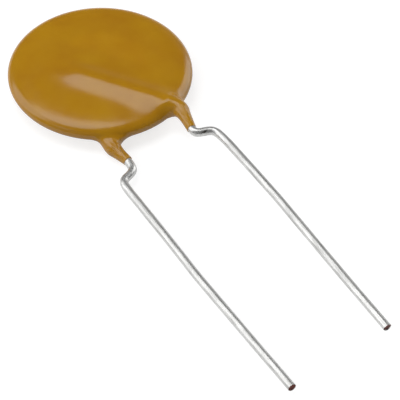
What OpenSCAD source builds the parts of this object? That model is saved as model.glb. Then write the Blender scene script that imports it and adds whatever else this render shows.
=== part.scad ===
// Ceramic disc capacitor with two cranked leads.
// The disc lies flat, its faces look along Z and the leads run along -Y.
// The origin is midway between the leads, where they leave their last bend.
// The rear lead is the front one turned half round about the Y axis.

/* [Dipped disc] */
// diameter over the dipped skin
disc_d = 16.5; // [15:0.5:20]
// thickness over the two dipped faces, clear of the wires
disc_t = 1.86; // [1.7:0.02:2.4]
// squareness of the dipped edge, where 2 is an ellipse
edge_power = 10; // [8:1:16]

/* [Ceramic, electrodes and solder] */
// how far the ceramic stops short of the dipped edge
edge_cover = 0.75; // [0.6:0.05:1.5]
// thickness of the ceramic
ceramic_t = 0.4; // [0.3:0.05:0.6]
// bare band of ceramic round each silver electrode
electrode_margin = 0.5; // [0.2:0.1:1]
// thickness of each silver electrode
electrode_t = 0.03; // [0.02:0.01:0.05]
// solder left between an electrode and its wire
solder_film = 0.055; // [0.045:0.005:0.08]
// width of the solder bead where it meets the electrode
solder_w = 1.7; // [1.3:0.1:2.2]
// height of the solder bead up the sides of the wire
solder_h = 0.5; // [0.3:0.05:0.6]
// length of the solder bead along the wire
solder_l = 6.5; // [4:0.5:7.5]
// how far the bead's sides lean in up to its knee
solder_batter = 0.23; // [0.1:0.01:0.3]
// how much wider than the wire the bead's top edge is, each side
solder_lip = 0.045; // [0.03:0.005:0.08]

/* [Leads] */
// wire diameter
wire_d = 0.75; // [0.6:0.05:0.85]
// distance between the two straight leads
lead_pitch = 10; // [9:0.5:12]
// length of the front lead below its last bend
front_lead_l = 27.15; // [5:0.05:40]
// length of the rear lead below its last bend
rear_lead_l = 27.8; // [5:0.05:40]
// distance of the wire's inner end from the centre line
inner_end_x = 2.25; // [1.8:0.05:2.8]
// height of the wire's inner end above the disc's centre
inner_end_y = 0.15; // [0:0.05:0.6]
// distance of the bend at the disc's edge from the centre line
edge_bend_x = 3.59; // [3.5:0.01:3.7]
// how far the corner of that bend lies outside the dipped edge
edge_bend_out = 0.6; // [0.45:0.01:0.7]
// distance of the crank's first corner from the centre line
crank_x = 2.93; // [2.6:0.01:3.2]
// length of the wire down to the crank's first corner
crank_drop = 3.39; // [3.3:0.01:3.7]
// fall of the crank between its two corners
crank_fall = 0.78; // [0.6:0.01:1.1]
// bend radius at the disc's edge, on the wire's centre line
edge_bend_r = 1.1; // [0.9:0.05:1.2]
// bend radius into the crank
crank_in_r = 0.6; // [0.5:0.05:0.7]
// bend radius out of the crank
crank_out_r = 1; // [0.6:0.05:1.1]

/* [Skin over the wires] */
// thickness of skin on top of a wire
ridge_cover = 0.345; // [0.3:0.005:0.4]
// fillet that spreads the ridge over the face
ridge_fillet = 1.6; // [1.2:0.05:1.8]
// fillet between a leg and the disc's edge
edge_fillet = 1.45; // [1.2:0.05:1.5]
// distance over which the ridge dies out past the wire's inner end
ridge_fade = 1.3; // [0.8:0.1:2]
// how far the ridge sinks while it dies out
ridge_sink = 0.6; // [0.5:0.05:0.8]
// thickness of skin round a wire where its leg starts
leg_cover = 0.175; // [0.15:0.005:0.25]
// length of skin on the front lead, from the corner at the disc's edge
front_leg_l = 2.81; // [2.4:0.01:2.9]
// length of skin on the rear lead, from the corner at the disc's edge
rear_leg_l = 2.25; // [2.2:0.01:2.9]
// thickness of skin at the end of a leg
leg_end_cover = 0.035; // [0.03:0.005:0.1]
// how late a leg thins out, where 1 is a straight taper
leg_taper = 0.7; // [0.7:0.1:1.5]

/* [Hidden] */
$fn = 40;
disc_r = disc_d / 2;
face_z = disc_t / 2;
wire_r = wire_d / 2;
ceramic_r = disc_r - edge_cover;
// height of the bead's knee as a share of its height, and its start past the wire's inner end
solder_knee = 0.6;
solder_start = 0.1;
// how far each straight of a wire runs into its bends, and how much fuller the bends are
bend_lap = 0.03;
bend_swell = 0.002;
// height of each wire's centre line over the middle of the disc
wire_z = ceramic_t / 2 + electrode_t + solder_film + wire_r;
// height of the top of a ridge over the face
crest = wire_z + wire_r + ridge_cover - face_z;

inner_end = [-inner_end_x, inner_end_y];
edge_bend_y = sqrt(pow(disc_r + edge_bend_out, 2) - pow(edge_bend_x, 2));
edge_bend = [edge_bend_x, -edge_bend_y];
crank_in = [crank_x, -edge_bend_y - sqrt(pow(crank_drop, 2) - pow(edge_bend_x - crank_x, 2))];
crank_out = [lead_pitch / 2, crank_in.y - crank_fall];
bend_rs = [0, edge_bend_r, crank_in_r, crank_out_r];
// the plane the leads leave their last bend in, measured from the disc's centre
seat_y = crank_out.y - crank_out_r * tan(turn(crank_in, crank_out, crank_out - [0, 1]) / 2);

ridge_dir = unit(edge_bend - inner_end);
leg_dir = unit(crank_in - edge_bend);
bend_turn = turn(inner_end, edge_bend, crank_in);
bend_cut = edge_bend_r * tan(bend_turn / 2);
bend_l = edge_bend_r * bend_turn * PI / 180;
straight_l = norm(edge_bend - inner_end) - bend_cut;
ridge_l = straight_l + bend_l;
bend_at = edge_bend - ridge_dir * bend_cut - left_of(ridge_dir) * edge_bend_r;
// headings square to the wire on the face and down the leg
ridge_a = atan2(ridge_dir.y, ridge_dir.x) + 90;
leg_a = atan2(leg_dir.y, leg_dir.x) + 90;
// direction from the disc's centre to where the leg leaves its edge
root_a = atan2((edge_bend + leg_dir * bend_cut).y, (edge_bend + leg_dir * bend_cut).x);

// the skin is drawn as lines of points from the top of the ridge to the disc's edge
// points across each line, and how many of them go down the side of the ridge
across = 13;
ridge_rows = 6;
// lines down one leg, lines on each side of the ridge, and lines round the outside of its bend
leg_lines = 10;
spine_lines = 24;
bend_lines = 8;
// lines between the leg and the lowest point of the edge, and between the leg and the highest
rim_under = 9;
rim_over = 36;
// how closely the lines crowd towards the bend, and those round the edge towards the legs
spine_crowd = 1.35;
under_crowd = 0.45;
over_crowd = 0.6;
// degrees between the points down the side of the ridge
ridge_step = 13;
// distance from the wire to the first point of a line that is clear of the ridge
ridge_foot = 1.5;
// depth of the core that the rounded edge is drawn round, and the tilt and reach of its first point
rim_core = 0.75;
rim_tilt = 70;
rim_reach = 0.9;
// points of a line on the ridge and on the flat of the face together
flat_rows = ridge_rows + 3;
// reach past that core at which the lines round the bend are aimed
bend_aim = 1.6;
// lines beside the leg that keep its round form, and those that pass from it to the face's
leg_near = 2;
leg_fade = 4;
// shares of the disc's radius at which a ridge starts to turn into a leg, and over which its lines follow
edge_zone = 0.86;
edge_band = 0.1;
// half angle over which the edge dips under a leg, and how steeply
root_w = 14;
root_lean = 50;
// distance from which points are brought down on to the skin
far = 2.4;
// the root of the leg, the reach round it in which points are evened out, and how often
root_p = [disc_r * cos(root_a), disc_r * sin(root_a), wire_z / 2];
even_far = 4.4;
even_fade = 1.4;
even_rounds = 24;

function unit(v) = v / norm(v);
function left_of(v) = [-v.y, v.x];
function turn(a, b, c) = acos(unit(b - a) * unit(c - b));
function side(a, b, c) = sign(left_of(b - a) * (c - b));
function lead_path(l) = [inner_end, edge_bend, crank_in, crank_out, [crank_out.x, seat_y - l]];

module on_rear() {
    rotate([0, 180, 0])
        children();
}

module from_disc_centre() {
    translate([0, -seat_y, 0])
        children();
}

// wire of radius r through the points of a path, bent to the radii in bend_rs
// each straight runs a hair into its bends, which are that much fuller
module wire(path, r) {
    last = len(path) - 1;
    cuts = [
        for (i = [0 : last])
            i == 0 || i == last ? 0 : bend_rs[i] * tan(turn(path[i - 1], path[i], path[i + 1]) / 2) - bend_lap
    ];
    for (i = [0 : last - 1]) {
        along = unit(path[i + 1] - path[i]);
        from = path[i] + along * cuts[i];
        translate([from.x, from.y, wire_z])
            rotate([0, 90, atan2(along.y, along.x)])
                cylinder(h = norm(path[i + 1] - path[i]) - cuts[i] - cuts[i + 1], r = r);
    }
    for (i = [1 : last - 1]) {
        way = side(path[i - 1], path[i], path[i + 1]);
        into = unit(path[i] - path[i - 1]);
        out = unit(path[i + 1] - path[i]);
        middle = path[i] - into * (cuts[i] + bend_lap) + left_of(into) * way * bend_rs[i];
        spoke = way > 0 ? -left_of(into) : left_of(out);
        translate([middle.x, middle.y, wire_z])
            rotate([0, 0, atan2(spoke.y, spoke.x)])
                rotate_extrude(angle = turn(path[i - 1], path[i], path[i + 1]))
                    translate([bend_rs[i], 0])
                        circle(r + bend_swell);
    }
}

// half outline of the solder bead's section, standing on the electrode
function bead_half() = [
    [0, 0],
    [solder_w / 2, 0],
    [solder_w / 2 - solder_batter, solder_h * solder_knee],
    [wire_r + solder_lip, solder_h],
    [0, solder_h]
];

module bead() {
    half = bead_half();
    start = inner_end - ridge_dir * solder_start;
    translate([start.x, start.y, wire_z - wire_r - solder_film])
        rotate([0, 0, atan2(ridge_dir.y, ridge_dir.x)]) {
            rotate([90, 0, 90])
                linear_extrude(solder_l)
                    polygon(concat(half, [for (k = [len(half) - 2 : -1 : 1]) [-half[k].x, half[k].y]]));
            rotate([0, 0, 90])
                rotate_extrude(angle = 180)
                    polygon(half);
            translate([solder_l, 0, 0])
                rotate([0, 0, -90])
                    rotate_extrude(angle = 180)
                        polygon(half);
        }
}

module solder_on_wire() {
    difference() {
        bead();
        wire(lead_path(1), wire_r);
    }
}

module silver() {
    translate([0, 0, ceramic_t / 2])
        cylinder(h = electrode_t, r = ceramic_r - electrode_margin);
}

module dielectric_disc() {
    color([0.62, 0.55, 0.45])
        from_disc_centre()
            cylinder(h = ceramic_t, r = ceramic_r, center = true);
}

module front_electrode() {
    color([0.78, 0.78, 0.76])
        from_disc_centre()
            silver();
}

module rear_electrode() {
    color([0.78, 0.78, 0.76])
        from_disc_centre()
            on_rear()
                silver();
}

module front_solder() {
    color([0.66, 0.67, 0.68])
        from_disc_centre()
            solder_on_wire();
}

module rear_solder() {
    color([0.66, 0.67, 0.68])
        from_disc_centre()
            on_rear()
                solder_on_wire();
}

module front_lead() {
    color([0.72, 0.72, 0.72])
        from_disc_centre()
            wire(lead_path(front_lead_l), wire_r);
}

module rear_lead() {
    color([0.72, 0.72, 0.72])
        from_disc_centre()
            on_rear()
                wire(lead_path(rear_lead_l), wire_r);
}

// radius of the skin round the front wire, a distance s down the leg from the corner at the disc's edge
function leg_r(s, l) =
    let (run = min(1, max(0, (s - bend_cut) / (l - bend_cut))))
    wire_r + mix(leg_cover, leg_end_cover, pow(run, leg_taper));

// radius of the skin round a wire on the face, so that with its fillet the top of the ridge comes out right,
// and towards the disc's edge the leg's own, where out is 1
function ridge_r(fillet, out) =
    mix(face_z - wire_z + 2 * sqrt(fillet * crest) - fillet, wire_r + leg_cover, out);

// the skin's surface is where skin_gap_at() is nought: outside it is positive, and never more than the
// distance to the skin, so a point can be walked on to the surface with it
function join(a, b, fillet) =
    let (near = max(fillet - abs(a - b), 0))
    min(a, b) - near * near / (4 * fillet);

function disc_gap(p) =
    let (
        r = norm([p.x, p.y]),
        edge = pow(r / disc_r, edge_power),
        face = p.z / face_z
    )
    (edge + face * face - 1) / max(norm([edge_power * edge / max(r, 1), 2 * face / face_z]), 0.2);

function wire_gap(p, l, r) =
    let (
        q = [p.x, p.y],
        up = p.z - wire_z,
        u = (q - inner_end) * ridge_dir,
        on_face = inner_end + ridge_dir * min(max(u, 0), straight_l),
        fade = norm([ridge_fade, ridge_sink]),
        tail = min(max((ridge_fade * -u - ridge_sink * up) / pow(fade, 2), 0), 1),
        on_tail = inner_end - ridge_dir * ridge_fade * tail,
        s = (q - edge_bend) * leg_dir,
        on_leg = edge_bend + leg_dir * max(s, bend_cut),
        spoke = q - bend_at,
        in_bend = u > straight_l && s < bend_cut,
        flat = min(norm(q - on_face), in_bend ? abs(norm(spoke) - edge_bend_r) : 99)
    )
    min(
        norm([flat, up]) - r,
        norm([q.x - on_tail.x, q.y - on_tail.y, up + ridge_sink * tail]) - r,
        norm([q.x - on_leg.x, q.y - on_leg.y, up]) - leg_r(s, l)
    );

function skin_gap_at(p, l) =
    let (
        out = ease((norm([p.x, p.y]) / disc_r - edge_zone) / (1 - edge_zone)),
        fillet = mix(ridge_fillet, edge_fillet, out),
        r = ridge_r(fillet, out)
    )
    join(join(disc_gap(p), wire_gap(p, l, r), fillet), wire_gap(to_rear(p), l, r), fillet);

function walk(p, dir, l, n = 16) = n == 0 ? p : walk(p - dir * skin_gap_at(p, l), dir, l, n - 1);

// from a point outside, straight towards a point inside, on to the skin
function land(outside, inside, l) = walk(outside, unit(outside - inside), l);

function to_rear(p) = [-p.x, p.y, -p.z];
function turned(v, a) = [v.x * cos(a) - v.y * sin(a), v.x * sin(a) + v.y * cos(a)];
function aim(a) = [cos(a), sin(a)];
// a level heading tipped up by an angle
function tipped(v, up) = [v.x * cos(up), v.y * cos(up), sin(up)];
function mix(a, b, t) = a + (b - a) * t;
function ease(t) = let (c = min(max(t, 0), 1)) c * c * (3 - 2 * c);
function wrap(a) = (a + 540) % 360 - 180;

// point of the front wire a distance t in from the lower end of its edge bend, or down the leg below 0
function wire_at(t) =
    let (
        past = max(t - bend_l, 0),
        dir = turned(leg_dir, min(max(t, 0) / bend_l, 1) * bend_turn)
    )
    t < 0 ? edge_bend + leg_dir * (bend_cut - t) : bend_at + left_of(dir) * edge_bend_r - dir * past;

// heading of a line of points as it leaves the wire towards the other leg: square to the wire on the face
// and far down the leg, and along the disc's edge where the leg leaves it
function across_a(t) =
    t < 0 ? mix(root_a + 90, leg_a, ease(-t / 2)) : mix(root_a + 90, ridge_a, ease(t / bend_l));

// angles round the disc's edge, finer beside the legs and mirrored left to right
function half_rim() = concat(
    [for (k = [rim_under : -1 : 1])
        let (t = k / rim_under)
        root_a - (root_a + 90) * mix(t, t * t, under_crowd)],
    [for (k = [0 : rim_over])
        let (t = k / rim_over)
        root_a + (90 - root_a) * mix(t, pow(t, 1.5), over_crowd)]
);

function whole_rim() =
    let (half = half_rim())
    concat(half, [for (k = [len(half) - 2 : -1 : 1]) 180 - half[k]]);

// how far the line where the two faces meet dips under one leg and rises over the other
function swell(a) = abs(a) < root_w ? pow(cos(90 * a / root_w), 2) : 0;
function lean(a) = root_lean * (swell(wrap(180 - a - root_a)) - swell(wrap(a - root_a)));

// a point at a distance r from the core of the disc's edge, tilted up from level
function off_rim(a, tilt, r) =
    let (reach = disc_r - rim_core + r * cos(tilt))
    [reach * cos(a), reach * sin(a), r * sin(tilt)];

// one line of points over the face, from the top of the ridge to the disc's edge: line m of n, counted round
// from the leg, towards the edge point given
function face_line(m, n, a, edge, l) =
    let (
        outer_side = m <= bend_lines + spine_lines,
        k = outer_side ? max(m - bend_lines, min(m, 1)) : min(n - m, spine_lines),
        t = k == 0 ? 0 : mix(bend_l / 2, ridge_l, pow((k - 1) / (spine_lines - 1), spine_crowd)),
        at = wire_at(t),
        turn_round = (m - bend_lines - spine_lines) / (n - bend_lines - 2 * spine_lines),
        beyond = off_rim(a, 0, bend_aim),
        to_rim = atan2(beyond.y - at.y, beyond.x - at.x),
        side = aim(
            !outer_side ? across_a(t) + 180 * min(turn_round, 1)
            : m <= bend_lines ? min(max(to_rim, leg_a), ridge_a)
            : ridge_a
        ),
        centre = [at.x, at.y, wire_z],
        to_edge = edge - centre,
        clear = far + max(norm(to_edge) - disc_t, 0),
        fall = 90 - atan2(to_edge.z, [to_edge.x, to_edge.y] * side),
        foot = at + side * ridge_foot,
        shoulder = off_rim(a, rim_tilt, rim_reach),
        leggy = max(
            1 - ease((min(m, n - m) - leg_near) / leg_fade),
            ease((norm(at) / disc_r - edge_zone) / edge_band)
        )
    )
    [
        for (j = [0 : across - 1])
            let (
                down = 90 - fall * j / across,
                round_leg = mix(tipped(side, down), unit(to_edge), pow(j / across, 3)),
                open = mix(foot, [shoulder.x, shoulder.y], (j - ridge_rows) / (flat_rows - ridge_rows)),
                tilt = mix(rim_tilt, lean(a), (j - flat_rows) / (across - flat_rows)),
                inner = j < ridge_rows ? centre
                    : j < flat_rows ? [open.x, open.y, 0]
                    : off_rim(a, 0, 0),
                outer = j < ridge_rows ? centre + far * tipped(side, 90 - ridge_step * j)
                    : j < flat_rows ? [open.x, open.y, far]
                    : off_rim(a, tilt, far)
            )
            land(mix(outer, centre + unit(round_leg) * clear, leggy), mix(inner, centre, leggy), l),
        edge
    ];

// half a ring of points round the leg, from its top to its underside on one side
function leg_line(k, way, l) =
    let (
        s = mix(bend_cut, l, k / leg_lines),
        at = edge_bend + leg_dir * s,
        side = way * aim(way > 0 || k == leg_lines ? leg_a : across_a(bend_cut - s)),
        centre = [at.x, at.y, wire_z]
    )
    [
        for (j = [0 : across])
            let (dir = tipped(side, 90 - 180 * j / across))
            k == leg_lines ? centre + dir * leg_r(l, l) : land(centre + dir * far, centre, l)
    ];

// from a point close to the skin straight down its slope on to it
function settle(p, l, n = 2) =
    let (
        g = skin_gap_at(p, l),
        h = 0.01,
        slope = [
            skin_gap_at(p + [h, 0, 0], l) - g,
            skin_gap_at(p + [0, h, 0], l) - g,
            skin_gap_at(p + [0, 0, h], l) - g
        ]
    )
    n == 0 ? p : settle(p - unit(slope) * g, l, n - 1);

// evens out the points round the root of the leg, where the lines fan, and keeps them on the skin
function evened(lines, l, n) =
    n == 0 ? lines : evened([
        for (r = [0 : len(lines) - 1]) [
            for (j = [0 : across])
                let (
                    p = lines[r][j],
                    share = ease((even_far - norm(p - root_p)) / even_fade),
                    fixed = r == 0 || r == len(lines) - 1 || j == 0 || j == across || share == 0
                )
                fixed ? p : settle(mix(p, (
                    lines[r - 1][j] + lines[r + 1][j] + lines[r][j - 1] + lines[r][j + 1]
                ) / 4, share), l)
        ]
    ], l, n - 1);

// the front half of the skin, as lines of points laid side by side: up one side of the leg, round the face
// and back down the other side of the leg
function half_skin(angles, edge, l) =
    let (n = len(angles))
    evened(concat(
        [for (k = [leg_lines : -1 : 1]) leg_line(k, 1, l)],
        [for (m = [0 : n]) face_line(m, n, angles[(m + rim_under) % n], edge[(m + rim_under) % n], l)],
        [for (k = [1 : leg_lines]) leg_line(k, -1, l)]
    ), l, even_rounds);

// whether line m of n and the next one leave the ridge at different points
function lines_part(m, n) =
    m < 1 || m >= n - spine_lines || (m > bend_lines && m < bend_lines + spine_lines);

function half_faces(lines, first) =
    let (w = across + 1, last = lines - 1)
    concat(
        [for (r = [0 : last - 1]) for (j = [0 : across - 1])
            let (p = first + r * w + j)
            [p + w, p + w + 1, p + 1]],
        [for (r = [0 : last - 1]) for (j = [0 : across - 1])
            let (p = first + r * w + j)
            if (j > 0 || lines_part(r - leg_lines, last - 2 * leg_lines))
            [p, p + w, p + 1]],
        [[
            for (j = [0 : across]) first + j,
            for (j = [across - 1 : -1 : 1]) first + last * w + j
        ]]
    );

module skin() {
    angles = whole_rim();
    n = len(angles);
    edge = [for (a = angles) land(off_rim(a, lean(a), far), off_rim(a, 0, 0), front_leg_l)];
    rear_edge = [for (k = [0 : n - 1]) to_rear(edge[(n - k) % n])];
    front = half_skin(angles, edge, front_leg_l);
    rear = half_skin(angles, rear_edge, rear_leg_l);
    polyhedron(
        points = concat(
            [for (line = front) for (p = line) p],
            [for (line = rear) for (p = line) to_rear(p)]
        ),
        faces = concat(half_faces(len(front), 0), half_faces(len(rear), len(front) * (across + 1))),
        convexity = 8
    );
}

module coating() {
    color([0.66, 0.47, 0.08])
        from_disc_centre()
            difference() {
                skin();
                cylinder(h = ceramic_t, r = ceramic_r, center = true);
                silver();
                on_rear()
                    silver();
                bead();
                on_rear()
                    bead();
                wire(lead_path(1), wire_r);
                on_rear()
                    wire(lead_path(1), wire_r);
            }
}

dielectric_disc();
front_electrode();
rear_electrode();
front_solder();
rear_solder();
front_lead();
rear_lead();
coating();
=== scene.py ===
import math

import bmesh
import bpy
import numpy as np
from mathutils import Matrix, Vector


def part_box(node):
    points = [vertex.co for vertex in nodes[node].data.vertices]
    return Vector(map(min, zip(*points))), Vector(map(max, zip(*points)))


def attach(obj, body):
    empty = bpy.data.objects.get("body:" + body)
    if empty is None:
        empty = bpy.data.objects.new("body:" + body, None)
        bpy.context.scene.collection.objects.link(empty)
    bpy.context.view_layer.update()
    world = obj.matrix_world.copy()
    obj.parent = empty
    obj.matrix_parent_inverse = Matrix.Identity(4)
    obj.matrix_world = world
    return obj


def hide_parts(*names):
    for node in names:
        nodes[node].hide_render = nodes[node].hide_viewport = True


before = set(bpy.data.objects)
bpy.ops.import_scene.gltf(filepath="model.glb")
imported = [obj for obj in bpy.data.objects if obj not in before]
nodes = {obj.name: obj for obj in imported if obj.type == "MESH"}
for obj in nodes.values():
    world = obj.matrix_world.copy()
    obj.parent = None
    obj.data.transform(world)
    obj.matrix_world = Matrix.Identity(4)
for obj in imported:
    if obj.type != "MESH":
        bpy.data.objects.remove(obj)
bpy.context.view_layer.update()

# The dipped coat: one skin of ochre epoxy over the whole disc. It is dipped with the leads
# uppermost, so it stands over the two wires as ridges, fills the corners beside them, and
# runs a little way down each lead to a feathered edge. Sizes are in mm from the disc's middle.

disc_at = float(sum(corner[1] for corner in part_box("dielectric_disc"))) * 500
disc_r, face_z, edge_power = 8.25, 0.93, 10.0
wire_r, wire_z = 0.375, 0.66
ridge_cover, leg_cover, feather = 0.345, 0.175, 0.035
crest = wire_z + wire_r + ridge_cover - face_z
inner_end = np.array([-2.25, 0.15])
edge_bend = np.array([3.59, -8.089])
crank_in = np.array([2.93, -11.414])
bend_r = 1.1
leg_l = {1: 2.81, -1: 2.25}
leg_taper, end_taper, leg_close = 0.7, 0.6, 0.4
tail_l, tail_drop = 1.3, 0.6
face_fillet, fillet_loss = 2.3, 0.85
rim_from, rim_blend = 0.86, 0.14
far_off, least_slope = 99, 0.2


def unit(v):
    return v / np.linalg.norm(v)


def ease(t):
    t = np.clip(t, 0, 1)
    return t * t * (3 - 2 * t)


ridge_dir, leg_dir = unit(edge_bend - inner_end), unit(crank_in - edge_bend)
bend_turn = math.acos(float(ridge_dir @ leg_dir))
bend_cut = bend_r * math.tan(bend_turn / 2)
straight_l = np.linalg.norm(edge_bend - inner_end) - bend_cut
bend_at = edge_bend - ridge_dir * bend_cut - np.array([-ridge_dir[1], ridge_dir[0]]) * bend_r


def soft_min(a, b, fillet):
    near = np.maximum(fillet - np.abs(a - b), 0)
    return np.minimum(a, b) - near * near / (4 * fillet)


def disc_gap(p):
    """Gap to the coated disc, with its flat faces and full round rim as one smooth form."""
    r = np.hypot(p[:, 0], p[:, 1])
    edge, face = (r / disc_r) ** edge_power, p[:, 2] / face_z
    slope = np.hypot(edge_power * edge / np.maximum(r, 1), 2 * face / face_z)
    return (edge + face * face - 1) / np.maximum(slope, least_slope)


def wire_gap(p, way, fillet, out):
    """Gap to the coat over the front wire (way 1) or, turned half round, the rear one (-1)."""
    q, up = p[:, :2] * [way, 1], p[:, 2] * way - wire_z
    length = leg_l[way]
    u = (q - inner_end) @ ridge_dir
    on_face = inner_end + ridge_dir * np.clip(u, 0, straight_l)[:, None]
    tail = np.clip((tail_l * -u - tail_drop * up) / (tail_l ** 2 + tail_drop ** 2), 0, 1)
    on_tail = inner_end - ridge_dir * tail_l * tail[:, None]
    s = (q - edge_bend) @ leg_dir
    on_leg = edge_bend + leg_dir * np.maximum(s, bend_cut)[:, None]
    in_bend = (u > straight_l) & (s < bend_cut)
    from_bend = np.abs(np.linalg.norm(q - bend_at, axis=1) - bend_r)
    flat = np.minimum(np.linalg.norm(q - on_face, axis=1), np.where(in_bend, from_bend, far_off))
    run = np.clip((s - bend_cut) / (length - bend_cut), 0, 1)
    leg_r = (wire_r + feather + (leg_cover - feather) * (1 - run ** leg_taper)
             - end_taper * np.maximum(s - length, 0))
    leg = np.hypot(np.linalg.norm(q - on_leg, axis=1), up) - leg_r
    leg = np.maximum(leg, s - length - leg_close)
    ridge_r = face_z - wire_z + 2 * np.sqrt(fillet * crest) - fillet
    ridge_r = ridge_r + (wire_r + leg_cover - ridge_r) * out
    ridge = np.minimum(np.hypot(flat, up),
                       np.hypot(np.linalg.norm(q - on_tail, axis=1), up + tail_drop * tail))
    past_middle = np.maximum(-up - wire_z, 0)
    return np.minimum(ridge - ridge_r, leg) + 2 * past_middle


def coat_gap(p):
    out = ease((np.hypot(p[:, 0], p[:, 1]) / disc_r - rim_from) / rim_blend)
    fillet = face_fillet - fillet_loss * out
    return soft_min(soft_min(disc_gap(p), wire_gap(p, 1, fillet, out), fillet),
                    wire_gap(p, -1, fillet, out), fillet)


def lay_on_coat(p, rounds, probe=0.01, least=0.3):
    """Move each point down the slope of the gap, until it lies on the coat's surface."""
    for _ in range(rounds):
        gap = coat_gap(p)
        slope = np.stack([coat_gap(p + step) - gap for step in np.eye(3) * probe], axis=1) / probe
        size = np.maximum(np.linalg.norm(slope, axis=1), least)
        p = p - slope / size[:, None] ** 2 * gap[:, None]
    return p


def settle(p, ties, pull, rounds):
    """Draw each point towards the middle of its neighbours, as a wet coat evens itself out."""
    shared = np.bincount(ties.ravel(), minlength=len(p))[:, None]
    for _ in range(rounds):
        around = np.zeros_like(p)
        np.add.at(around, ties[:, 0], p[ties[:, 1]])
        np.add.at(around, ties[:, 1], p[ties[:, 0]])
        p = p + pull * (around / shared - p)
    return p


def put_in_scene(name, data):
    thing = bpy.data.objects.new(name, data)
    bpy.context.scene.collection.objects.link(thing)
    return thing


def plain_mesh(thing):
    bpy.context.view_layer.update()
    return bpy.data.meshes.new_from_object(
        thing.evaluated_get(bpy.context.evaluated_depsgraph_get()))


weld, skin_near, ring_near = 2e-6, 0.35, 0.002
voxel, lay_rounds = 0.0001, 6
settle_pull, settle_rounds, settle_to = 0.6, 140, 0.78
middle = [0, disc_at, 0]

blank = bpy.data.meshes.new("coat_blank")
form = bmesh.new()
form.from_mesh(nodes["coating"].data)
bmesh.ops.remove_doubles(form, verts=form.verts, dist=weld)
places = np.array([v.co for v in form.verts]) * 1000 - middle
skin = np.abs(coat_gap(places)) < skin_near
ends = [np.abs((places[:, :2] * [way, 1] - edge_bend) @ leg_dir - leg_l[way]) < ring_near
        for way in (1, -1)]
form.verts.ensure_lookup_table()
inner = [f for f in form.faces if not all(skin[v.index] for v in f.verts)
         or any(all(end[v.index] for v in f.verts) for end in ends)]
bmesh.ops.delete(form, geom=inner, context="FACES")
bmesh.ops.delete(form, geom=[v for v in form.verts if not v.link_faces], context="VERTS")
bmesh.ops.holes_fill(form, edges=[e for e in form.edges if e.is_boundary])
form.to_mesh(blank)
form.free()

coat = put_in_scene("dipped_coat", blank)
even = coat.modifiers.new("even", "REMESH")
even.mode = "VOXEL"
even.voxel_size = voxel
coat_mesh = plain_mesh(coat)
coat.modifiers.clear()
coat.data = coat_mesh
spots = np.zeros(len(coat_mesh.vertices) * 3, np.float32)
coat_mesh.vertices.foreach_get("co", spots)
ties = np.zeros(len(coat_mesh.edges) * 2, np.int32)
coat_mesh.edges.foreach_get("vertices", ties)
spots = lay_on_coat(spots.reshape(-1, 3).astype(float) * 1000 - middle, lay_rounds)
inwards = 1 - ease((np.hypot(spots[:, 0], spots[:, 1]) / disc_r - settle_to) / rim_blend)
spots = settle(spots, ties.reshape(-1, 2), settle_pull * inwards[:, None], settle_rounds)
coat_mesh.vertices.foreach_set("co", ((spots + middle) / 1000).astype(np.float32).ravel())
for face in coat_mesh.polygons:
    face.use_smooth = True
coat_mesh.update()


def node_material(name):
    material = bpy.data.materials.new(name)
    material.use_nodes = True
    tree = material.node_tree
    tree.nodes.clear()
    shader = tree.nodes.new("ShaderNodeBsdfPrincipled")
    out = tree.nodes.new("ShaderNodeOutputMaterial")
    tree.links.new(shader.outputs["BSDF"], out.inputs["Surface"])
    spot = tree.nodes.new("ShaderNodeTexCoord")
    return material, tree, shader, spot.outputs["Object"]


def noise(tree, where, per_mm, detail=2.0, stretch=(1, 1, 1)):
    turn = tree.nodes.new("ShaderNodeMapping")
    turn.inputs["Scale"].default_value = [1000 * per_mm * k for k in stretch]
    grain = tree.nodes.new("ShaderNodeTexNoise")
    grain.inputs["Scale"].default_value = 1.0
    grain.inputs["Detail"].default_value = detail
    tree.links.new(where, turn.inputs["Vector"])
    tree.links.new(turn.outputs["Vector"], grain.inputs["Vector"])
    return grain.outputs["Fac"]


def ramp(tree, value, stops):
    """Colours, or plain levels, spread over a pattern's values."""
    band = tree.nodes.new("ShaderNodeValToRGB")
    while len(band.color_ramp.elements) < len(stops):
        band.color_ramp.elements.new(0.5)
    for mark, (place, colour) in zip(band.color_ramp.elements, stops):
        mark.position = place
        mark.color = (*colour, 1) if isinstance(colour, tuple) else (colour, colour, colour, 1)
    tree.links.new(value, band.inputs["Fac"])
    return band.outputs["Color"]


def bump(tree, shader, value, height_mm, strength=1.0, under=None):
    lift = tree.nodes.new("ShaderNodeBump")
    lift.inputs["Distance"].default_value = height_mm / 1000
    lift.inputs["Strength"].default_value = strength
    tree.links.new(value, lift.inputs["Height"])
    if under:
        tree.links.new(under.outputs["Normal"], lift.inputs["Normal"])
    tree.links.new(lift.outputs["Normal"], shader.inputs["Normal"])
    return lift


ochre = [(0.3, (0.372, 0.166, 0.0010)), (0.5, (0.398, 0.186, 0.0013)),
         (0.7, (0.420, 0.206, 0.0020))]
coat_gloss = [(0.3, 0.17), (0.7, 0.23)]
streaks_from, streaks_full = -7.6, -8.8

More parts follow.
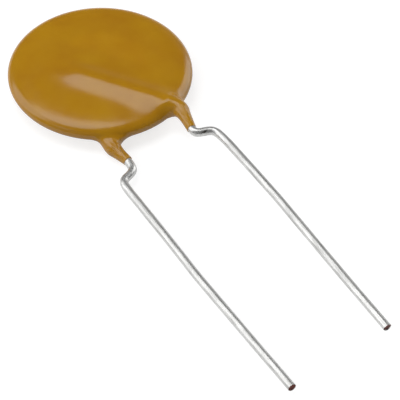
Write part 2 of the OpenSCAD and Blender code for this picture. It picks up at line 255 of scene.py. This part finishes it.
epoxy, tree, shader, where = node_material("dipped_epoxy")
shader.inputs["Specular IOR Level"].default_value = 0.65
tree.links.new(ramp(tree, noise(tree, where, 0.35, detail=3.0), ochre),
               shader.inputs["Base Color"])
tree.links.new(ramp(tree, noise(tree, where, 0.8), coat_gloss), shader.inputs["Roughness"])
waves = bump(tree, shader, noise(tree, where, 0.5), 0.02, 0.6)
fine_grain = bump(tree, shader, noise(tree, where, 6.0, detail=3.0), 0.002, 0.5, under=waves)
streaks = bump(tree, shader, noise(tree, where, 4.5, stretch=(1, 0.12, 1)), 0.11,
               under=fine_grain)
apart = tree.nodes.new("ShaderNodeSeparateXYZ")
tree.links.new(where, apart.inputs["Vector"])
on_legs = tree.nodes.new("ShaderNodeMapRange")
on_legs.inputs["From Min"].default_value = (disc_at + streaks_from) / 1000
on_legs.inputs["From Max"].default_value = (disc_at + streaks_full) / 1000
tree.links.new(apart.outputs["Y"], on_legs.inputs["Value"])
tree.links.new(on_legs.outputs["Result"], streaks.inputs["Strength"])

coat_mesh.materials.clear()
coat_mesh.materials.append(epoxy)
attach(coat, "root")
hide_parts("coating")

# The two leads: tinned copper wire, soldered to the disc, bent by hand tools below the coat
# and bowed a little by handling. The tin follows the copper everywhere but on the two cut
# ends, where the shears left the copper bare.

tin_coat, wire_facets = 0.013, 32
course_step, steps_between = 0.12, 24
tin_rim, copper_sink = 0.00003, 0.00002
cut_lean = {"front_lead": 0.25, "rear_lead": 0.08}
lead_z = {"front_lead": wire_z, "rear_lead": -wire_z}
lead_courses = {
    "front_lead": [
        (3.47, -8.7), (3.21, -10.0), (3.06, -10.78), (3.10, -11.33), (3.38, -11.59),
        (3.78, -11.72), (4.19, -11.85), (4.51, -12.06), (4.71, -12.42), (4.79, -12.88),
        (4.85, -13.37), (4.91, -14.36), (4.96, -16.3), (5.03, -19.3), (5.08, -22),
        (5.06, -25), (5.03, -28), (5.0, -32), (4.99, -35.5), (5.0, -40.04)],
    "rear_lead": [
        (-3.47, -8.7), (-3.22, -10.0), (-3.17, -10.7), (-3.34, -11.42), (-3.68, -11.72),
        (-4.22, -11.97), (-4.56, -12.14), (-4.76, -12.39), (-4.89, -12.92), (-4.93, -13.42),
        (-4.94, -15), (-4.97, -18.4), (-5.0, -20.8), (-5.06, -23.7), (-5.09, -25.2),
        (-5.07, -28.5), (-5.02, -32), (-4.98, -35.5), (-4.92, -38.75), (-4.9, -40.69)]}


def smooth_path(points, step):
    """Points laid a fixed step apart on a smooth curve through the ones given."""
    p = np.array(points, float)
    p = np.vstack([2 * p[0] - p[1], p, 2 * p[-1] - p[-2]])
    line = []
    for a, b, c, d in zip(p, p[1:], p[2:], p[3:]):
        ta, tc = np.linalg.norm(b - a) ** 0.5, np.linalg.norm(c - b) ** 0.5
        td = np.linalg.norm(d - c) ** 0.5
        m1 = tc * ((b - a) / ta - (c - a) / (ta + tc) + (c - b) / tc)
        m2 = tc * ((c - b) / tc - (d - b) / (tc + td) + (d - c) / td)
        for t in np.linspace(0, 1, steps_between, endpoint=False):
            line.append((2 * t ** 3 - 3 * t * t + 1) * b + (t ** 3 - 2 * t * t + t) * m1
                        + (3 * t * t - 2 * t ** 3) * c + (t ** 3 - t * t) * m2)
    line = np.array(line + [p[-2]])
    run = np.concatenate([[0], np.cumsum(np.linalg.norm(np.diff(line, axis=0), axis=1))])
    marks = np.linspace(0, run[-1], int(run[-1] / step) + 1)
    return np.stack([np.interp(marks, run, line[:, k]) for k in range(3)], axis=1)


sweep = bpy.data.node_groups.new("drawn_wire", "GeometryNodeTree")
sweep.interface.new_socket("Path", in_out="INPUT", socket_type="NodeSocketGeometry")
sweep.interface.new_socket("Wire", in_out="OUTPUT", socket_type="NodeSocketGeometry")
wire_radius = sweep.interface.new_socket("Wire radius", in_out="INPUT",
                                         socket_type="NodeSocketFloat")
wire_sides = sweep.interface.new_socket("Sides", in_out="INPUT", socket_type="NodeSocketInt")
wire_finish = sweep.interface.new_socket("Finish", in_out="INPUT",
                                         socket_type="NodeSocketMaterial")
given = sweep.nodes.new("NodeGroupInput")
made = sweep.nodes.new("NodeGroupOutput")
ring = sweep.nodes.new("GeometryNodeCurvePrimitiveCircle")
along = sweep.nodes.new("GeometryNodeCurveToMesh")
along.inputs["Fill Caps"].default_value = True
whole = sweep.nodes.new("GeometryNodeRealizeInstances")
finish = sweep.nodes.new("GeometryNodeSetMaterial")
for a, b in ((given.outputs["Wire radius"], ring.inputs["Radius"]),
             (given.outputs["Sides"], ring.inputs["Resolution"]),
             (given.outputs["Path"], along.inputs["Curve"]),
             (ring.outputs["Curve"], along.inputs["Profile Curve"]),
             (along.outputs["Mesh"], whole.inputs["Geometry"]),
             (whole.outputs["Geometry"], finish.inputs["Geometry"]),
             (given.outputs["Finish"], finish.inputs["Material"]),
             (finish.outputs["Geometry"], made.inputs["Wire"])):
    sweep.links.new(a, b)

tin_grey = [(0.3, (0.60, 0.60, 0.59)), (0.7, (0.76, 0.76, 0.75))]
drag_marks = [(0.32, (0.70, 0.70, 0.69)), (0.5, 1.0), (0.75, (0.86, 0.86, 0.85))]
tin_gloss = [(0.3, 0.33), (0.7, 0.25)]
# Painted shade: a dark patch painted on the tin where pliers flattened the front lead's crank. It
# paints the darker reflection of that flat dent, and the dent itself is not shaped.
dent_shade_at, dent_shade_turn = (0.00367, (disc_at - 11.97) / 1000, 0.00095), -0.31
dent_shade_half = (0.0006, 0.00022, 0.0003)
dent_shade_colour = [(0.85, (0.22, 0.20, 0.18)), (1.0, 1.0)]

tin, tree, shader, where = node_material("tinned_wire")
shader.inputs["Metallic"].default_value = 0.80
cloud = noise(tree, where, 1.5, detail=3.0, stretch=(1, 0.25, 1))
lines = noise(tree, where, 7.0, stretch=(1, 0.05, 1))
dent_shade_place = tree.nodes.new("ShaderNodeMapping")
dent_shade_place.vector_type = "TEXTURE"
dent_shade_place.inputs["Location"].default_value = dent_shade_at
dent_shade_place.inputs["Rotation"].default_value = (0, 0, dent_shade_turn)
dent_shade_place.inputs["Scale"].default_value = dent_shade_half
tree.links.new(where, dent_shade_place.inputs["Vector"])
reach = tree.nodes.new("ShaderNodeVectorMath")
reach.operation = "LENGTH"
tree.links.new(dent_shade_place.outputs["Vector"], reach.inputs[0])
ragged = tree.nodes.new("ShaderNodeMath")
ragged.operation = "ADD"
tree.links.new(reach.outputs["Value"], ragged.inputs[0])
tree.links.new(noise(tree, where, 6.0, detail=3.0, stretch=(0.4, 1, 1)), ragged.inputs[1])
colour = ramp(tree, cloud, tin_grey)
# The drag marks and the painted shade of the dent are multiplied into the tin's colour.
for layer in (ramp(tree, lines, drag_marks), ramp(tree, ragged.outputs[0], dent_shade_colour)):
    blend = tree.nodes.new("ShaderNodeMix")
    blend.data_type = "RGBA"
    blend.blend_type = "MULTIPLY"
    blend.inputs["Factor"].default_value = 1.0
    tree.links.new(colour, blend.inputs["A"])
    tree.links.new(layer, blend.inputs["B"])
    colour = blend.outputs["Result"]
tree.links.new(colour, shader.inputs["Base Color"])
tree.links.new(ramp(tree, cloud, tin_gloss), shader.inputs["Roughness"])
drawn = bump(tree, shader, lines, 0.012, 0.6)
bump(tree, shader, noise(tree, where, 3.0, detail=3.0, stretch=(1, 0.3, 1)), 0.008, 0.5,
     under=drawn)

bare_copper = [(0.3, (0.040, 0.011, 0.008)), (0.7, (0.17, 0.040, 0.028))]

copper, tree, shader, where = node_material("cut_copper")
shader.inputs["Metallic"].default_value = 1.0
shader.inputs["Roughness"].default_value = 0.45
tree.links.new(ramp(tree, noise(tree, where, 6.0), bare_copper), shader.inputs["Base Color"])
bump(tree, shader, noise(tree, where, 14.0, stretch=(1, 1, 0.2)), 0.01, 0.7)

for name, course in lead_courses.items():
    run = smooth_path([(*point, lead_z[name]) for point in course], course_step)
    run = (run + middle) / 1000
    curve = bpy.data.curves.new(name + "_course", "CURVE")
    curve.dimensions = "3D"
    line = curve.splines.new("POLY")
    line.points.add(len(run) - 1)
    line.points.foreach_set("co", np.hstack([run, np.ones((len(run), 1))]).ravel())
    lead = put_in_scene(name + "_wire", curve)
    swept = lead.modifiers.new("drawn", "NODES")
    swept.node_group = sweep
    swept[wire_radius.identifier] = (wire_r + tin_coat) / 1000
    swept[wire_sides.identifier] = wire_facets
    swept[wire_finish.identifier] = tin
    mesh = plain_mesh(lead)
    bpy.data.objects.remove(lead)
    mesh.materials.append(copper)
    form = bmesh.new()
    form.from_mesh(mesh)
    cut = min((f for f in form.faces if len(f.verts) > 4), key=lambda f: f.calc_center_median().y)
    heart = cut.calc_center_median()
    for v in cut.verts:
        v.co.y += cut_lean[name] * (wire_r / 1000 - (v.co.z - heart.z))
    bmesh.ops.inset_individual(form, faces=[cut], thickness=tin_rim, depth=-copper_sink)
    cut.material_index = 1
    form.to_mesh(mesh)
    form.free()
    piece = put_in_scene(name + "_wire", mesh)
    for face in mesh.polygons:
        face.use_smooth = len(face.vertices) == 4
    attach(piece, "root")
    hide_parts(name)

# The parts sealed in the coat: the fired ceramic disc, the silver fired on to its two faces,
# and the solder that holds each wire to the silver.


def sealed_finish(name, metal, colours, gloss, colour_per_mm, detail, gloss_per_mm,
                  relief_per_mm, relief_mm, relief_strength=0.5):
    material, tree, shader, where = node_material(name)
    shader.inputs["Metallic"].default_value = metal
    tree.links.new(ramp(tree, noise(tree, where, colour_per_mm, detail=detail), colours),
                   shader.inputs["Base Color"])
    tree.links.new(ramp(tree, noise(tree, where, gloss_per_mm), gloss),
                   shader.inputs["Roughness"])
    bump(tree, shader, noise(tree, where, relief_per_mm), relief_mm, relief_strength)
    return material


fired = sealed_finish("fired_ceramic", 0.0,
                      [(0.3, (0.30, 0.24, 0.16)), (0.7, (0.38, 0.31, 0.22))],
                      [(0.3, 0.5), (0.7, 0.65)], colour_per_mm=3.0, detail=4.0,
                      gloss_per_mm=9.0, relief_per_mm=20.0, relief_mm=0.003)
silvered = sealed_finish("fired_silver", 1.0,
                         [(0.3, (0.70, 0.69, 0.66)), (0.7, (0.82, 0.82, 0.80))],
                         [(0.3, 0.42), (0.7, 0.55)], colour_per_mm=4.0, detail=3.0,
                         gloss_per_mm=12.0, relief_per_mm=25.0, relief_mm=0.002)
soldered = sealed_finish("solder", 1.0,
                         [(0.3, (0.56, 0.57, 0.58)), (0.7, (0.72, 0.72, 0.73))],
                         [(0.3, 0.22), (0.7, 0.38)], colour_per_mm=2.0, detail=3.0,
                         gloss_per_mm=5.0, relief_per_mm=4.0, relief_mm=0.01)
for name, material in (("dielectric_disc", fired), ("front_electrode", silvered),
                       ("rear_electrode", silvered), ("front_solder", soldered),
                       ("rear_solder", soldered)):
    nodes[name].data.materials.clear()
    nodes[name].data.materials.append(material)

# The studio: a white sheet just under the part, round soft boxes over it and beside it, and a
# long lens. The sheet shows plain white to the lens and in the metal, and keeps the shadow.

sheet_z, sheet_half, sheet_grey = -1.445 / 1000, 0.6, (0.38, 0.38, 0.38, 1)
sheet_glow = {"Is Camera Ray": 0.74, "Is Glossy Ray": 0.52, "Is Transmission Ray": 0.74}

sheet_mesh = bpy.data.meshes.new("white_sheet")
sheet_mesh.from_pydata([(x * sheet_half, y * sheet_half, sheet_z)
                        for x, y in ((-1, -1), (1, -1), (1, 1), (-1, 1))], [], [(0, 1, 2, 3)])
sheet = put_in_scene("white_sheet", sheet_mesh)
paper, tree, shader, where = node_material("white_sheet")
shader.inputs["Base Color"].default_value = sheet_grey
shader.inputs["Roughness"].default_value = 0.9
shader.inputs["Specular IOR Level"].default_value = 0.0
shader.inputs["Emission Color"].default_value = (1, 1, 1, 1)
ray = tree.nodes.new("ShaderNodeLightPath")
glow = shader.inputs["Emission Strength"]
for kind, strength in sheet_glow.items():
    part = tree.nodes.new("ShaderNodeMath")
    part.operation = "MULTIPLY_ADD"
    part.inputs[1].default_value = strength
    part.inputs[2].default_value = 0.0
    tree.links.new(ray.outputs[kind], part.inputs[0])
    tree.links.new(part.outputs[0], glow)
    glow = part.inputs[2]
sheet_mesh.materials.append(paper)

lit_middle, lamp_away = Vector((0, 0.01, 0)), 0.5


def soft_box(name, azimuth, elevation, wide, high, glow, soft=0.18, mirrored=True):
    """A round lamp on a bearing counted from +X towards +Y, brightest in its middle."""
    az, el = math.radians(azimuth), math.radians(elevation)
    way = Vector((math.cos(el) * math.cos(az), math.cos(el) * math.sin(az), math.sin(el)))
    for size, share in ((1 + soft, 0.35), (1, 0.3), (1 - soft, 0.35)):
        data = bpy.data.lights.new(name, "AREA")
        data.shape = "ELLIPSE"
        data.size, data.size_y = wide * size, high * size
        data.energy = math.pi * glow * share * data.size * data.size_y
        lamp = put_in_scene(name, data)
        lamp.location = way * lamp_away + lit_middle
        lamp.rotation_euler = way.to_track_quat("Z", "Y").to_euler()
        lamp.visible_glossy = mirrored


soft_box("over", 104, 73, 0.24, 0.20, 4.9, soft=0.6)
soft_box("back_left", 138, 31, 0.32, 0.43, 3.4, soft=0.35)
soft_box("right", 5, 20, 0.30, 0.41, 4.4, soft=0.3)
soft_box("right_low", 34, 10, 0.30, 0.30, 0.22, soft=0.35)
soft_box("glint", -168, 42, 0.07, 0.07, 4.0)
soft_box("front_left", -150, 24, 0.40, 0.40, 2.1, mirrored=False)
soft_box("front_right", -42, 24, 0.40, 0.40, 1.0, mirrored=False)
soft_box("left", -178, 30, 0.40, 0.40, 1.1, mirrored=False)

world = bpy.data.worlds.new("studio")
bpy.context.scene.world = world
world.use_nodes = True
room = world.node_tree.nodes["Background"]
room.inputs["Color"].default_value = (0.10, 0.10, 0.10, 1)
room.inputs["Strength"].default_value = 1.0

right = np.array([0.85824818, -0.51323008, -0.00222613])
down = np.array([-0.36735355, -0.61126578, -0.70100322])
ahead = np.array([0.35841518, 0.60245252, -0.71315463])
disc_seen_at = np.array([-8.91205479, -11.32797173, 447.62561656])
focal_px, frame_px, film_mm = 5014.8, 400, 36
eye = middle - (right * disc_seen_at[0] + down * disc_seen_at[1] + ahead * disc_seen_at[2])
lens = bpy.data.cameras.new("long_lens")
lens.sensor_width = film_mm
lens.lens = focal_px / frame_px * film_mm
lens.clip_start, lens.clip_end = 0.01, 10
camera = put_in_scene("camera", lens)
pose = Matrix.Identity(4)
for k in range(3):
    pose[k][0], pose[k][1], pose[k][2] = right[k], -down[k], -ahead[k]
    pose[k][3] = eye[k] / 1000
camera.matrix_world = pose
bpy.context.scene.camera = camera
bpy.context.scene.view_settings.view_transform = "Standard"
